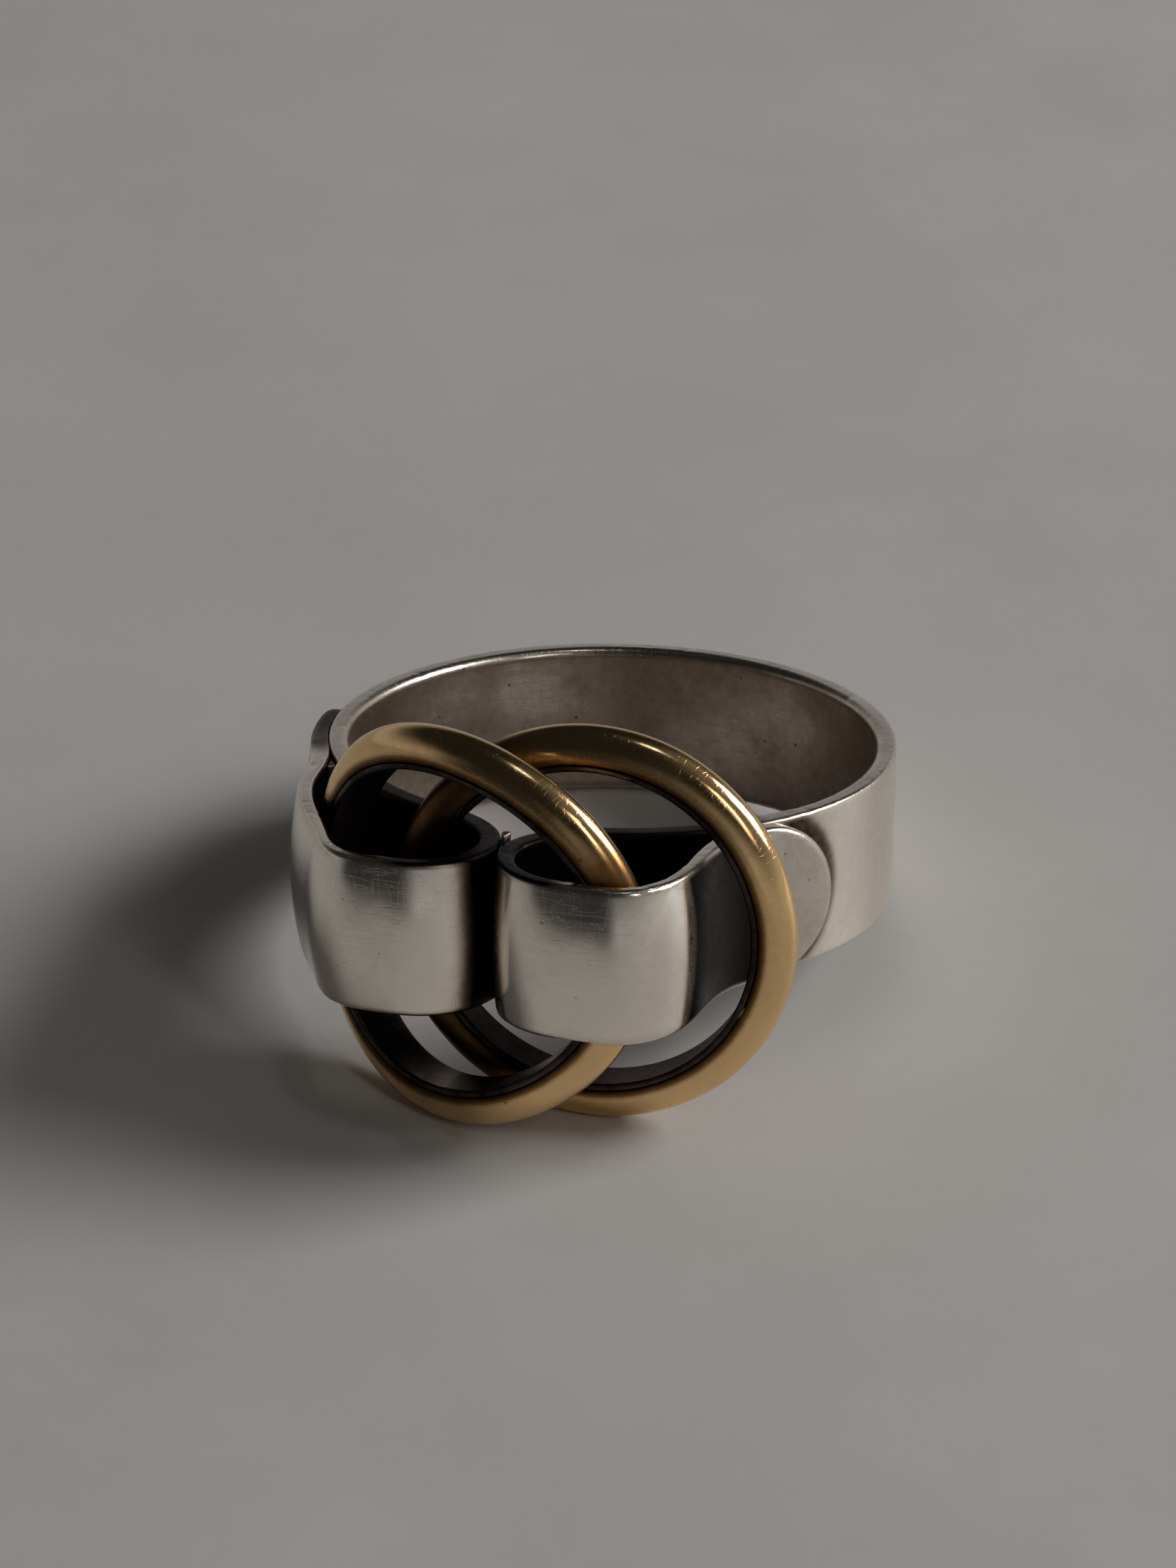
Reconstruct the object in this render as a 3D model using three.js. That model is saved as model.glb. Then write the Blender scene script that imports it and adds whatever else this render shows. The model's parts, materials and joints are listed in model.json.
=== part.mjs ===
// A silver finger ring whose front is folded into two straps that hold two gold hoops.
// Millimetres, +Z up, front towards -Y. The ring is modelled about its finger axis and is then
// laid down as it rests on a table: on the rims of both hoops and on the back of its band.
import * as THREE from "three";

const radians = THREE.MathUtils.degToRad;

// Clearance between metal faces that touch or are soldered together.
const FIT = 0.03;

// Shank: a flat strip bent round the finger, a little flatter at the front than at the back.
const FINGER_RADIUS = 9.1;
const FRONT_FLATNESS = 0.6; // how much nearer to the finger axis the front is
const STRIP_THICKNESS = 0.72;
const STRIP_WIDTH = 5.4;
const STRIP_CHAMFER = 0.1;
const STRIP_END_ANGLE = 53; // where the shank hands over to each folded strap, from the front
const TONGUE_END_WIDTH = 0.12; // width left at a tongue's tip, as a share of the strip's
const FRONT_DEPTH = FINGER_RADIUS - FRONT_FLATNESS; // from the finger axis to the inner face

// Pillows: the faces of the folded straps.
const NOSE_REACH = 2.9; // from the middle of the front to where a nose ends and its pillow starts
const RIGHT_FACE = 1.5; // how wide the flattest part of each pillow's face is
const LEFT_FACE = 1.0;
const RIGHT_FALL = 6.6; // from the middle of the front to where the right strap is steepest
const CROWN = 0.18; // how far the middle of a pillow's face stands proud of its edges

// Hoops: half-round gold wire, with a thin silver lining on its flat inner side. The right hoop
// goes round the left strap's nose and the right strap's fall, which set its opening at the
// strip's edges, and the left hoop is of the same size.
const HOOP_WIDTH = 1.56;
const HOOP_HEIGHT = 1.4;
const HOOP_LINING = 0.22;
const HOOP_CORNER = 0.1;
const HOOP_DROP = 0.1; // how far the hoops hang below the middle of the strip
const LEFT_TURN = -18;
const LEFT_BOW = 1.65;
const RIGHT_TURN = 5;
const NOSE_CLEARANCE = 1.203;
const FALL_CLEARANCE = 1.02;
const OPENING_ACROSS = NOSE_CLEARANCE + STRIP_THICKNESS + RIGHT_FALL + FALL_CLEARANCE;
const HOOP_OPENING = OPENING_ACROSS / 2 / Math.cos(radians(RIGHT_TURN));
const HOOP_INNER_RADIUS = Math.hypot(HOOP_OPENING, STRIP_WIDTH / 2);
const HOOP_OUTER_RADIUS = HOOP_INNER_RADIUS + HOOP_HEIGHT;

// A fold has room for both hoops, one behind the other.
const FOLD_CLEARANCE = 0.89;
const PILLOW_DEPTH = FRONT_DEPTH + 2 * (STRIP_THICKNESS + HOOP_WIDTH) + FOLD_CLEARANCE;

// Places of the hoops. The left one's tip has to fit inside the right fold, behind the pillow. The
// right one can sink into the shank's curve, as its middle is open.
const TIP_CLEARANCE = 0.55;
const PILLOW_CLEARANCE = 0.8;
const SHANK_CLEARANCE = -0.35;
const RIGHT_HOOP = {
  x: (RIGHT_FALL + FALL_CLEARANCE - STRIP_THICKNESS - NOSE_CLEARANCE) / 2,
  y: -(FRONT_DEPTH + STRIP_THICKNESS + SHANK_CLEARANCE + HOOP_WIDTH / 2),
  z: -HOOP_DROP,
  turn: RIGHT_TURN,
  bow: 0,
};
const LEFT_HOOP = {
  x: 0,
  y: HOOP_WIDTH / 2 + STRIP_THICKNESS + PILLOW_CLEARANCE - PILLOW_DEPTH,
  z: -HOOP_DROP,
  turn: LEFT_TURN,
  bow: LEFT_BOW,
};
LEFT_HOOP.x =
  RIGHT_FALL - STRIP_THICKNESS / 2 - TIP_CLEARANCE - hoopPoint(LEFT_HOOP, 0, HOOP_OUTER_RADIUS, 0).x;

// Folded straps. Each runs forward from the shank, turns round its nose at the middle of the
// front, comes back over the hoops as a pillow, and lands on the shank as a round-ended tongue.
// The right one falls inside the right hoop, and the left one passes round the left hoop's tip.
const RIGHT_FALL_DEPTH = 2.75; // below the pillow's face, where the strap is steepest
const LEFT_SHOULDER_DEPTH = 1.75;
const LEFT_SHOULDER_REACH = 2.27; // how much nearer the middle the shoulder is than the fall
const LEFT_FALL_OVERLAP = 0.35; // how far the strap passes behind the corner of the hoop's tip
const LEFT_FALL_LEAD = 0.52; // how far in front of the hoop's tip its fall starts
const leftTip = hoopPoint(LEFT_HOOP, Math.PI, HOOP_OUTER_RADIUS, 0);
const leftFall = (STRIP_THICKNESS + HOOP_WIDTH) / 2 - LEFT_FALL_OVERLAP - leftTip.x;
const RIGHT_STRAP = {
  side: 1,
  crestEnd: NOSE_REACH + RIGHT_FACE, // where the face of the pillow starts to fall
  slope: [
    // points on the way down, and directions there
    { at: [RIGHT_FALL, RIGHT_FALL_DEPTH - PILLOW_DEPTH], heading: [0.12, 1] },
  ],
  landing: 48, // angles from the front
  tip: 64.5,
};
const LEFT_STRAP = {
  side: -1,
  crestEnd: NOSE_REACH + LEFT_FACE,
  slope: [
    { at: [leftFall - LEFT_SHOULDER_REACH, LEFT_SHOULDER_DEPTH - PILLOW_DEPTH], heading: [0.5, 0.87] },
    { at: [leftFall, leftTip.y - LEFT_FALL_LEAD], heading: [0.34, 0.94] },
  ],
  landing: 64,
  tip: 98,
};

// Solder seams.
const SEAM_DEPTH = 1.5; // how far the front seam fills the notch between the noses
const SEAM_TIP = 0.5; // how far in front of its end the notch gets too narrow for solder
const SEAM_INSET = 0.2; // how far a seam stops short of the strip's edges
const SEAM_LENGTH = STRIP_WIDTH - 2 * SEAM_INSET;
const TAIL_SEAM_EDGE = 0.04; // how thick the solder under a strap's landing is where it starts
const TAIL_SEAM_THICKNESS = 0.35; // and where it stops

const ROUND_PULL = 0.552; // makes a cubic curve follow a quarter of a circle
const SHANK_STEPS = 56;
const STRAP_STEPS = 9; // for each curve of a strap
const HOOP_STEPS = 48;
const DOME_STEPS = 8;

const silver = new THREE.MeshStandardMaterial({ color: 0xcfccc6, roughness: 0.2, metalness: 1 });
const oxidised = new THREE.MeshStandardMaterial({ color: 0x3a3532, roughness: 0.35, metalness: 1 });
const gold = new THREE.MeshStandardMaterial({ color: 0xd9b25c, roughness: 0.18, metalness: 1 });
const solder = new THREE.MeshStandardMaterial({ color: 0x8f8c88, roughness: 0.4, metalness: 1 });

// A point of the shank's outline, `offset` outside its inner face, at an angle from the front.
function shankPoint(angle, offset, side = 1) {
  const a = radians(angle);
  const depth = Math.abs(angle) < 90 ? FRONT_DEPTH : FINGER_RADIUS;
  const across = (FINGER_RADIUS + offset) * Math.sin(a);
  return new THREE.Vector2(side * across, -(depth + offset) * Math.cos(a));
}

// A curve between two stops, each a place and a heading. Between two headings at a right angle
// it is a quarter of a round.
function bend(from, to) {
  const reach = from.at.distanceTo(to.at) * ROUND_PULL * Math.SQRT1_2;
  const first = from.at.clone().addScaledVector(from.heading.clone().normalize(), reach);
  const second = to.at.clone().addScaledVector(to.heading.clone().normalize(), -reach);
  return new THREE.CubicBezierCurve(from.at, first, second, to.at);
}

// The middle line of a strap, seen along the finger axis.
function strapLine({ side, crestEnd, slope, landing, tip }) {
  const half = STRIP_THICKNESS / 2;
  const tailOffset = STRIP_THICKNESS + FIT + half;
  const place = (x, y) => new THREE.Vector2(side * x, y);
  const along = (angle, offset) =>
    shankPoint(angle + 0.5, offset, side).sub(shankPoint(angle - 0.5, offset, side)).normalize();
  const arc = (from, to, offset) =>
    Array.from({ length: STRAP_STEPS + 1 }, (_, i) =>
      shankPoint(from + ((to - from) * i) / STRAP_STEPS, offset, side),
    );

  const start = STRIP_END_ANGLE - THREE.MathUtils.radToDeg(FIT / FINGER_RADIUS);
  const noseAngle = THREE.MathUtils.radToDeg(Math.asin(NOSE_REACH / FINGER_RADIUS));
  const crest = -(PILLOW_DEPTH - half);
  const stops = [
    { at: shankPoint(noseAngle, half, side), heading: along(noseAngle, half).negate() },
    { at: place(FIT / 2 + half, -(FRONT_DEPTH + PILLOW_DEPTH) / 2), heading: place(0, -1) },
    { at: place(NOSE_REACH, crest), heading: place(1, 0) },
    { at: place(crestEnd, crest), heading: place(1, 0) },
    ...slope.map(({ at, heading }) => ({ at: place(...at), heading: place(...heading) })),
    { at: shankPoint(landing, tailOffset, side), heading: along(landing, tailOffset) },
  ];
  const points = arc(start, noseAngle, half);
  for (let i = 1; i < stops.length; i++) {
    points.push(...bend(stops[i - 1], stops[i]).getPoints(STRAP_STEPS).slice(1));
  }
  points.push(...arc(landing, tip, tailOffset).slice(1));
  return points;
}

// Joins rings of points into one closed solid; an open run of rings gets a cap at each end.
function skin(rings, closed) {
  const count = rings[0].length;
  const positions = rings.flat().flatMap((p) => [p.x, p.y, p.z]);
  const faces = [];
  const last = closed ? rings.length : rings.length - 1;
  for (let i = 0; i < last; i++) {
    const here = i * count;
    const next = ((i + 1) % rings.length) * count;
    for (let j = 0; j < count; j++) {
      const k = (j + 1) % count;
      faces.push(here + j, here + k, next + j, here + k, next + k, next + j);
    }
  }
  if (!closed) {
    const end = (rings.length - 1) * count;
    for (let j = 1; j < count - 1; j++) {
      faces.push(0, j + 1, j, end, end + j, end + j + 1);
    }
  }
  const geometry = new THREE.BufferGeometry();
  geometry.setAttribute("position", new THREE.Float32BufferAttribute(positions, 3));
  geometry.setIndex(faces);
  if (volume(geometry) < 0) {
    for (let i = 0; i < faces.length; i += 3) {
      [faces[i + 1], faces[i + 2]] = [faces[i + 2], faces[i + 1]];
    }
    geometry.setIndex(faces);
  }
  geometry.computeVertexNormals();
  return geometry;
}

// Signed volume of a closed mesh: negative if its faces point inwards.
function volume(geometry) {
  const at = geometry.getAttribute("position");
  const order = geometry.index.array;
  const [a, b, c] = [new THREE.Vector3(), new THREE.Vector3(), new THREE.Vector3()];
  let total = 0;
  for (let i = 0; i < order.length; i += 3) {
    a.fromBufferAttribute(at, order[i]);
    b.fromBufferAttribute(at, order[i + 1]);
    c.fromBufferAttribute(at, order[i + 2]);
    total += a.dot(b.cross(c)) / 6;
  }
  return total;
}

// Unit normals of an open plan line, to its left-hand side. At its ends it keeps its curve.
function lineNormals(points) {
  const steps = points.slice(1).map((point, i) => point.clone().sub(points[i]).normalize());
  const first = steps[0].clone().multiplyScalar(2).sub(steps[1]);
  const last = steps.at(-1).clone().multiplyScalar(2).sub(steps.at(-2));
  const around = [first, ...steps, last];
  return points.map((_, i) => {
    const along = around[i].clone().add(around[i + 1]).normalize();
    return new THREE.Vector2(-along.y, along.x);
  });
}

// A strip on edge: `points` is the plan of its middle line, `outward` (+1 or -1) says on which
// side of that line its crowned face lies, and halfWidth and crown give its shape at each point.
function strip(points, outward, halfWidth, crown) {
  const normals = lineNormals(points);
  const half = STRIP_THICKNESS / 2;
  const c = STRIP_CHAMFER;
  const rings = points.map((point, i) => {
    const w = halfWidth(i);
    const bulge = crown(i);
    const side = Math.min(c, w / 3);
    // each corner: across the strip, then through its thickness
    const section = [
      [-w, c - half],
      [side - w, -half],
      [w - side, -half],
      [w, c - half],
      [w, half - c - bulge],
      [w - side, half - bulge],
      [w / 2, half - bulge / 4],
      [0, half],
      [-w / 2, half - bulge / 4],
      [side - w, half - bulge],
      [-w, half - c - bulge],
    ];
    return section.map(([across, through]) => {
      const at = point.clone().addScaledVector(normals[i], outward * through);
      return new THREE.Vector3(at.x, at.y, across);
    });
  });
  return skin(rings, false);
}

// Distances along a plan line.
function runningLength(points) {
  const lengths = [0];
  for (let i = 1; i < points.length; i++) {
    lengths.push(lengths[i - 1] + points[i].distanceTo(points[i - 1]));
  }
  return lengths;
}

function shankBand() {
  const span = 360 - 2 * STRIP_END_ANGLE;
  const points = [];
  for (let i = 0; i <= SHANK_STEPS; i++) {
    const angle = STRIP_END_ANGLE + (span * i) / SHANK_STEPS;
    points.push(shankPoint(angle > 180 ? angle - 360 : angle, STRIP_THICKNESS / 2));
  }
  return strip(points, -1, () => STRIP_WIDTH / 2, () => 0);
}

// The strap's crown fades in over its nose and out again where it lands.
function foldedStrap(design) {
  const points = strapLine(design);
  const lengths = runningLength(points);
  const total = lengths.at(-1);
  const round = STRIP_WIDTH / 2;
  const halfWidth = (i) => {
    const left = total - lengths[i];
    if (left >= round) return round;
    return Math.sqrt(Math.max(round ** 2 - (round - left) ** 2, (TONGUE_END_WIDTH * round) ** 2));
  };
  const noseAt = STRAP_STEPS * 2;
  const landAt = points.length - 1 - STRAP_STEPS;
  const crown = (i) => {
    const along = (lengths[i] - lengths[noseAt]) / (lengths[landAt] - lengths[noseAt]);
    return CROWN * Math.sqrt(Math.sin(Math.PI * THREE.MathUtils.clamp(along, 0, 1)));
  };
  return strip(points, -design.side, halfWidth, crown);
}

// A point of a hoop at an angle round it, at a radius and a distance along the hoop's axis.
// A bowed hoop lies on a surface that falls back towards the finger on its left and right.
function hoopPoint({ x, y, z, turn, bow }, t, radius, axial) {
  const across = new THREE.Vector3(Math.cos(radians(turn)), Math.sin(radians(turn)), 0);
  const facing = new THREE.Vector3(across.y, -across.x, 0);
  const middle = (HOOP_OUTER_RADIUS + HOOP_INNER_RADIUS) / 2;
  const sideways = (radius * Math.cos(t)) / middle;
  const slope = (2 * bow * sideways) / middle;
  const normal = facing.clone().addScaledVector(across, slope).normalize();
  return new THREE.Vector3(x, y, z + radius * Math.sin(t))
    .addScaledVector(across, radius * Math.cos(t))
    .addScaledVector(facing, -bow * sideways * sideways)
    .addScaledVector(normal, axial);
}

// A hoop's section swept round it. Each section point is [radius, distance along the hoop's axis].
function sweptHoop(hoop, section) {
  const angles = Array.from({ length: HOOP_STEPS }, (_, i) => (2 * Math.PI * i) / HOOP_STEPS);
  const rings = angles.map((t) => section.map(([radius, axial]) => hoopPoint(hoop, t, radius, axial)));
  return skin(rings, true);
}

// The gold: flat at the lining, straight sides, then a dome.
function goldSection() {
  const base = HOOP_INNER_RADIUS + HOOP_LINING + FIT;
  const wall = base + HOOP_CORNER;
  const half = HOOP_WIDTH / 2;
  const section = [];
  for (let i = 0; i <= DOME_STEPS; i++) {
    const a = (Math.PI * i) / DOME_STEPS;
    section.push([wall + (HOOP_OUTER_RADIUS - wall) * Math.sin(a), half * Math.cos(a)]);
  }
  section.push([base, -half], [base, half]);
  return section;
}

function liningSection() {
  const outer = HOOP_INNER_RADIUS + HOOP_LINING;
  const half = HOOP_WIDTH / 2;
  return [
    [outer, half],
    [outer, -half],
    [HOOP_INNER_RADIUS + HOOP_CORNER, -half],
    [HOOP_INNER_RADIUS, HOOP_CORNER - half],
    [HOOP_INNER_RADIUS, half - HOOP_CORNER],
    [HOOP_INNER_RADIUS + HOOP_CORNER, half],
  ];
}

// An upright bar with a plan outline, centred on the strip's width.
function bar(outline, length) {
  const shape = new THREE.Shape(outline);
  const geometry = new THREE.ExtrudeGeometry(shape, { depth: length, bevelEnabled: false });
  return geometry.translate(0, 0, -length / 2);
}

// Solder in the notch that the two noses leave on the finger side.
function centreSeam(strapPoints) {
  const inset = STRIP_THICKNESS / 2 + FIT;
  const normals = lineNormals(strapPoints);
  const nose = strapPoints.slice(STRAP_STEPS, 2 * STRAP_STEPS + 1);
  const contact = nose.at(-1).y;
  const flank = nose
    .map((point, i) => point.clone().addScaledVector(normals[STRAP_STEPS + i], -inset))
    .filter(({ x, y }) => x > 0 && y < contact + SEAM_DEPTH && y > contact + SEAM_TIP);
  return [...flank, ...flank.map((p) => new THREE.Vector2(-p.x, p.y)).reverse()];
}

// Solder in the wedge between a landing strap and the shank, from where the wedge is
// TAIL_SEAM_EDGE high to where it is TAIL_SEAM_THICKNESS high.
function tailSeam(design) {
  const points = strapLine(design);
  const normals = lineNormals(points);
  const landAt = points.length - 1 - STRAP_STEPS;
  const inset = STRIP_THICKNESS / 2 + FIT;
  const walls = [];
  for (let i = landAt; i > landAt - STRAP_STEPS; i--) {
    const under = points[i].clone().addScaledVector(normals[i], design.side * inset);
    const angle = THREE.MathUtils.radToDeg(
      Math.atan2(Math.abs(under.x) / FINGER_RADIUS, -under.y / FRONT_DEPTH),
    );
    const floor = shankPoint(angle, STRIP_THICKNESS + FIT, design.side);
    walls.push({ under, floor, height: under.length() - floor.length() });
  }
  const wallAt = (height) => {
    const i = walls.findIndex((wall, k) => k > 0 && wall.height >= height);
    const [before, after] = [walls[i - 1], walls[i]];
    const share = (height - before.height) / (after.height - before.height);
    return {
      under: before.under.clone().lerp(after.under, share),
      floor: before.floor.clone().lerp(after.floor, share),
    };
  };
  const inside = walls.filter(
    ({ height }) => height > TAIL_SEAM_EDGE && height < TAIL_SEAM_THICKNESS,
  );
  const kept = [wallAt(TAIL_SEAM_EDGE), ...inside, wallAt(TAIL_SEAM_THICKNESS)];
  return [...kept.map(({ under }) => under), ...kept.map(({ floor }) => floor).reverse()];
}

function named(name, geometry, material) {
  const mesh = new THREE.Mesh(geometry, material);
  mesh.name = name;
  return mesh;
}

// Tips the ring until it stands on the lowest points of three pieces. Which points those are
// depends on the tilt, so the plane through them is found again a few times.
function layDown(ring, feet) {
  const up = new THREE.Vector3(0, 0, 1);
  for (let pass = 0; pass < 8; pass++) {
    const plane = new THREE.Plane().setFromCoplanarPoints(...feet.map((mesh) => lowest(mesh, up)));
    up.copy(plane.normal).multiplyScalar(Math.sign(plane.normal.z));
  }
  ring.quaternion.setFromUnitVectors(up, new THREE.Vector3(0, 0, 1));
}

// The vertex of a piece that lies lowest when `up` points upwards.
function lowest(mesh, up) {
  const at = mesh.geometry.getAttribute("position");
  const found = new THREE.Vector3().fromBufferAttribute(at, 0);
  const point = new THREE.Vector3();
  for (let i = 1; i < at.count; i++) {
    point.fromBufferAttribute(at, i);
    if (point.dot(up) < found.dot(up)) found.copy(point);
  }
  return found;
}

const shank = named("shank_band", shankBand(), silver);
const leftGold = named("left_hoop_gold", sweptHoop(LEFT_HOOP, goldSection()), gold);
const leftLining = named("left_hoop_lining", sweptHoop(LEFT_HOOP, liningSection()), oxidised);
const rightGold = named("right_hoop_gold", sweptHoop(RIGHT_HOOP, goldSection()), gold);
const rightLining = named("right_hoop_lining", sweptHoop(RIGHT_HOOP, liningSection()), oxidised);

const ring = new THREE.Group();
ring.add(
  shank,
  named("left_folded_strap", foldedStrap(LEFT_STRAP), silver),
  named("right_folded_strap", foldedStrap(RIGHT_STRAP), silver),
  leftGold,
  leftLining,
  rightGold,
  rightLining,
  named("centre_solder_seam", bar(centreSeam(strapLine(RIGHT_STRAP)), SEAM_LENGTH), solder),
  named("left_tail_solder_seam", bar(tailSeam(LEFT_STRAP), SEAM_LENGTH), solder),
  named("right_tail_solder_seam", bar(tailSeam(RIGHT_STRAP), SEAM_LENGTH), solder),
);
layDown(ring, [leftGold, rightGold, shank]);

// The part's origin is on the table, under the middle of the ring as it lies.
const part = new THREE.Group();
part.add(ring);
const box = new THREE.Box3().setFromObject(part, true);
const middle = box.getCenter(new THREE.Vector3());
ring.position.sub(middle.setZ(box.min.z));

export default part;
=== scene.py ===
"""Silver finger ring with two linked gold hoops held in folded straps: its finish, stage and camera."""

import json
import math

import bmesh
import bpy
import numpy as np
from bpy.props import FloatProperty, FloatVectorProperty, PointerProperty
from mathutils import Matrix, Vector, noise


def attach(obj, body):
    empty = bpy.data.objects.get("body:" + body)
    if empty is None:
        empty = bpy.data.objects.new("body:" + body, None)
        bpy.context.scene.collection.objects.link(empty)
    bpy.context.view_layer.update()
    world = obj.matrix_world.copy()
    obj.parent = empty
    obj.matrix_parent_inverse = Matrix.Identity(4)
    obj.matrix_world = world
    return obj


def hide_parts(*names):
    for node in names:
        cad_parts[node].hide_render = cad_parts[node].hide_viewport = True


bl_info = {
    "name": "Silver ring with gold hoops",
    "version": (1, 0, 0),
    "blender": (4, 5, 0),
    "location": "View3D > Sidebar > Silver Ring",
    "description": "Makes the silver strip, the gold hoops, their solder and a small studio",
    "category": "Object",
}

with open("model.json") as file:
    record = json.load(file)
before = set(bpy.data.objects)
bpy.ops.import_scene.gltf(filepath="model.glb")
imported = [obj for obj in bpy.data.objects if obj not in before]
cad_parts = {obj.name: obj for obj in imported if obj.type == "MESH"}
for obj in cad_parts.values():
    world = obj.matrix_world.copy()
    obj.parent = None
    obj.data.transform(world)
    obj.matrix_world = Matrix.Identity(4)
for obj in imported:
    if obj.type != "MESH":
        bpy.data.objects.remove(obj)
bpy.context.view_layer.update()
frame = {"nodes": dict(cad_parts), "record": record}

MM = 0.001

# Plan of the two folded ends, in millimetres: the finger axis is at 0, 0 and the front is -y.
# "shaded" is how much shade is painted on the limb behind the pillow, and "filed" how much thinner its
# tip is.
# "tongue" and "tongue_rim" are how tarnished the face and the rims of its tongue are.
RIGHT_END = {
    "side": 1,
    "crest_end": 4.4,
    "slope": [((6.6, -11.2), (0.12, 1.0))],
    "landing": 48.0,
    "tip": 64.5,
    "shaded": 0.97,
    "filed": 0.08,
    "tongue": 0.3,
    "tongue_rim": 0.06,
}
LEFT_END = {
    "side": -1,
    "crest_end": 3.9,
    "slope": [((5.95, -12.2), (0.5, 0.87)), ((8.22, -8.1), (0.34, 0.94))],
    "landing": 64.0,
    "tip": 98.0,
    "shaded": 0.0,
    "filed": 0.12,
    "tongue": 0.7,
    "tongue_rim": 0.8,
}
FOLD_START = 53.0  # degrees from the front, where each end leaves the round of the shank
TOUCH_GAP = 0.03
ROUND_PULL = 0.552  # share of a curve's reach at which its handles make it round

# Where each hoop's middle is, how far it is turned, in degrees, and how deeply it is bowed.
# The last entry is the middle, in degrees, and half the spread of the painted shade on the stretch of
# wire that runs through its fold.
LEFT_HOOP = {"place": (-1.5, -11.65, -0.1), "turn": -18.0, "bow": 1.65, "fold_shade": (8.0, 24.0)}
RIGHT_HOOP = {"place": (2.85, -9.65, -0.1), "turn": 5.0, "bow": 0.0, "fold_shade": (178.0, 62.0)}

# How finely the shapes are cut up. Steps, smoothing and the voxel are in millimetres, the rest
# are numbers of points.
STRIP_STEP = 0.1
ACROSS = 30
LINE_SMOOTHING = 0.22
BEND_STEPS = 48
ARC_STEPS = 60
BACK_STEPS = 400
RIM_POINTS = 3
HOOP_ROUND_STEPS = 320
DOME_STEPS = 37
CORNER_STEPS = 5
SECTION_STEP = {"gold": 0.12, "lining": 0.1}
VOXEL = 0.06

# The strip's shape across, in millimetres.
INNER_CROWN = 0.25  # share of the pillows' crown that shows on their hollow side
TONGUE_CROWN = 0.16
TIP_HALF_WIDTH = 0.05
TONGUE_EDGE_WEAR = 0.12  # added to the edge round on the front of the tongues
SHANK_EDGE_WEAR = 0.14  # and on the outside of the shank
EDGE_FADE = 2.0  # how far along the strip that comes in

# The top of the centre solder is pulled up by the lift, which comes in between the two heights
# above the ring's middle. All three are in millimetres.
SOLDER_LIFT = 0.4
SOLDER_LIFT_FROM, SOLDER_LIFT_TO = 2.0, 2.5

# Tarnish and painted shade, from 0 for clean to 1 for black.
FINGER_SIDE_TARNISH = 0.5
OUTSIDE_TARNISH = 0.05
RIM_TARNISH = 0.2
# Painted shade inside the folded ends, on their inner face and on their rims.
FOLD_SHADE = 0.97
FOLD_RIM_SHADE = 0.95
# Painted shadow along the edges of the tongues.
CORNER_SHADOW = 0.8
GOLD_CORNER_TARNISH = 0.95
# Painted shade on each hoop where it runs through a fold.
HOOP_FOLD_SHADE = 0.85
FOLD_SHADE_FADE_IN, FOLD_SHADE_FADE_OUT = 12, 14  # degrees, inside and outside the stretch's ends
LINING_TARNISH = 0.75

# Unevenness: depth and pitch in millimetres, and a seed. The hoops' depths are shares of the two
# wave depths below.
STRIP_WAVES = ((0.012, 2.6, 3.1), (0.004, 0.9, 8.4))
RIM_NICKS = (0.03, 0.33, 5.2)
SOLDER_LUMPS = ((0.05, 0.55, 4.4), (0.02, 0.2, 9.1))
HOOP_WAVES = ((1.0, 2.2, 6.3), (0.4, 0.7, 2.8))
GOLD_WAVE_DEPTH = 0.012
LINING_WAVE_DEPTH = 0.006

RANGE_SOCKETS = ("From Min", "From Max", "To Min", "To Max")

# How fine the lines of polish are along, across and through the strip, and through a hoop's wire.
STRIP_GRAIN = (0.35, 9.0, 3.0)
HOOP_GRAIN = (0.25, 0.25, 14.0)
GRAIN_RADIUS = 6.2  # the round, in millimetres, along which a hoop's lines run

# What the noise textures' middle range covers.
NOISE_LOW, NOISE_HIGH = 0.3, 0.7

# Brightness of the room: its one light wall, everywhere, and round the window.
WALL_LIGHT = 0.3
ROOM_LIGHT = 0.012
WINDOW_GLOW = 0.12
ROOM_COLOUR = (1.0, 0.975, 0.95, 1.0)

# Soft lights: the way to them, their width and height in metres, and watts. The window's size and
# power are in the stage settings.
LIGHT_DISTANCE = 0.8
WINDOW = {"direction": (0.74, 0.42, 0.54), "colour": (1.0, 0.985, 0.97)}
SKYLIGHT = {
    "direction": (0.12, 0.05, 0.97), "size": (0.1, 0.07), "power": 0.12, "colour": (0.9, 0.96, 1.0),
}
DOORWAY = {
    "direction": (0.66, -0.42, 0.62), "size": (0.08, 0.3), "power": 0.42, "colour": (1.0, 0.93, 0.82),
}

# The camera: degrees to the right of the ring's front, above it and of roll, then in millimetres
# how far right and up of the ring's middle it aims, as it sees them, and how far away it stands.
CAMERA_SIDE, CAMERA_HEIGHT, CAMERA_ROLL = 19.69, 20.71, 0.38
CAMERA_AIM = (-0.789, 0.895)
CAMERA_DISTANCE = 202.6
SENSOR_WIDTH = 36.0

# The floor: metres to its far edge, its rings and the points round each, how much closer together
# the rings are near the middle, and how wide its edge is and how far that drops, in metres.
FLOOR_REACH, FLOOR_RINGS, FLOOR_AROUND, FLOOR_CROWDING = 0.45, 24, 96, 1.6
FLOOR_EDGE, FLOOR_DROP = 0.05, 0.02


# ---------------------------------------------------------------- sizes and colours


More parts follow.
